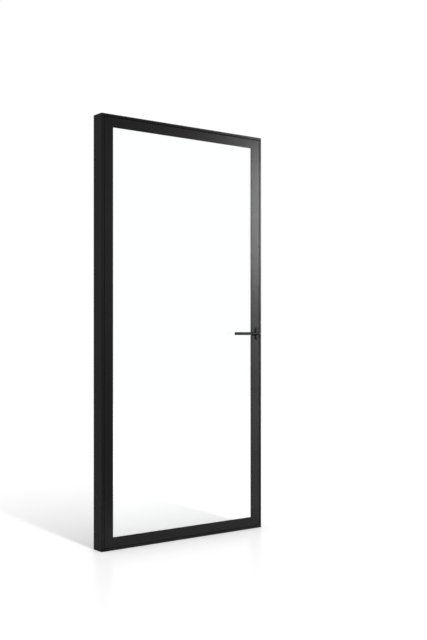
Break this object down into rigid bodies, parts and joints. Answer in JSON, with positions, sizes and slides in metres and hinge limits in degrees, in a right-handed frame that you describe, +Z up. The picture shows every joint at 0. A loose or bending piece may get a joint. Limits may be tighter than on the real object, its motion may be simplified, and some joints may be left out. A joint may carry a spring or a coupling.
{
  "type": "glass door",
  "caption": "Clear glass door leaf in a slim black aluminium frame, pivoting at its corners, with a straight lever that throws a bolt into head and threshold.",
  "frame": {"origin": "middle of the threshold's underside, on the floor, at half the frame's depth", "axes": "+X from the hinge side to the handle side, +Y from the front face to the back, +Z up"},
  "size_m": [1, 0.1158, 2.12],
  "materials": {
    "black_profile": "extruded aluminium, satin black powder coat",
    "black_handle": "turned aluminium, satin black coat",
    "clear_glass": "clear toughened float glass",
    "black_rubber": "matt extruded rubber",
    "hardware_steel": "zinc plated steel",
    "mill_aluminium": "mill finish aluminium",
    "dark_plastic": "moulded nylon",
    "bush_bronze": "sintered bronze"
  },
  "bodies": {
    "frame": {"hinge_jamb": "black_profile", "lock_jamb": "black_profile", "head": "black_profile", "threshold": "black_profile", "frame_cleat_top_hinge": "mill_aluminium", "frame_cleat_top_lock": "mill_aluminium", "frame_cleat_bottom_hinge": "mill_aluminium", "frame_cleat_bottom_lock": "mill_aluminium", "hinge_stop": "black_profile", "lock_stop": "black_profile", "head_stop": "black_profile", "threshold_stop": "black_profile", "closing_seal": "black_rubber", "top_pivot_plate": "hardware_steel", "bottom_pivot_plate": "hardware_steel", "thrust_washer": "hardware_steel", "head_keeper": "hardware_steel", "threshold_keeper": "hardware_steel", "plate_screws": "hardware_steel"},
    "leaf": {"hinge_stile": "black_profile", "lock_stile": "black_profile", "top_rail": "black_profile", "bottom_rail": "black_profile", "leaf_cleat_top_hinge": "mill_aluminium", "leaf_cleat_top_lock": "mill_aluminium", "leaf_cleat_bottom_hinge": "mill_aluminium", "leaf_cleat_bottom_lock": "mill_aluminium", "glass_pane": "clear_glass", "front_gasket": "black_rubber", "back_gasket": "black_rubber", "setting_blocks": "dark_plastic", "hinge_bead": "black_profile", "lock_bead": "black_profile", "top_bead": "black_profile", "bottom_bead": "black_profile", "top_pivot_block": "mill_aluminium", "bottom_pivot_block": "mill_aluminium", "top_bush": "bush_bronze", "bottom_bush": "bush_bronze", "gear_case": "hardware_steel", "gear_case_cover": "hardware_steel", "rod_guides": "dark_plastic", "front_rosette": "black_handle", "back_rosette": "black_handle", "rosette_bolts": "hardware_steel"},
    "handle": {"front_lever": "black_handle", "back_lever": "black_handle", "spindle_bar": "hardware_steel", "pinion": "hardware_steel", "grub_screws": "hardware_steel"},
    "upper_bolt": {"top_bolt": "hardware_steel"},
    "lower_bolt": {"bottom_bolt": "hardware_steel"}
  },
  "joints": [
    {"name": "leaf_swing", "type": "hinge", "parent": "frame", "child": "leaf", "pos_m": [-0.47925, -0.03325, 0], "axis": [0, 0, -1], "range_deg": [0, 100]},
    {"name": "lever_turn", "type": "hinge", "parent": "leaf", "child": "handle", "pos_m": [0.4679, -0.04, 1.055], "axis": [0, -1, 0], "range_deg": [0, 90]},
    {"name": "top_bolt_slide", "type": "slide", "parent": "leaf", "child": "upper_bolt", "axis": [0, 0, 1], "range_m": [0, 0.011]},
    {"name": "bottom_bolt_slide", "type": "slide", "parent": "leaf", "child": "lower_bolt", "axis": [0, 0, -1], "range_m": [0, 0.011]}
  ],
  "couplings": [
    {"joint": "top_bolt_slide", "follows": "lever_turn", "m_per_rad": 0.007},
    {"joint": "bottom_bolt_slide", "follows": "lever_turn", "m_per_rad": 0.007}
  ]
}
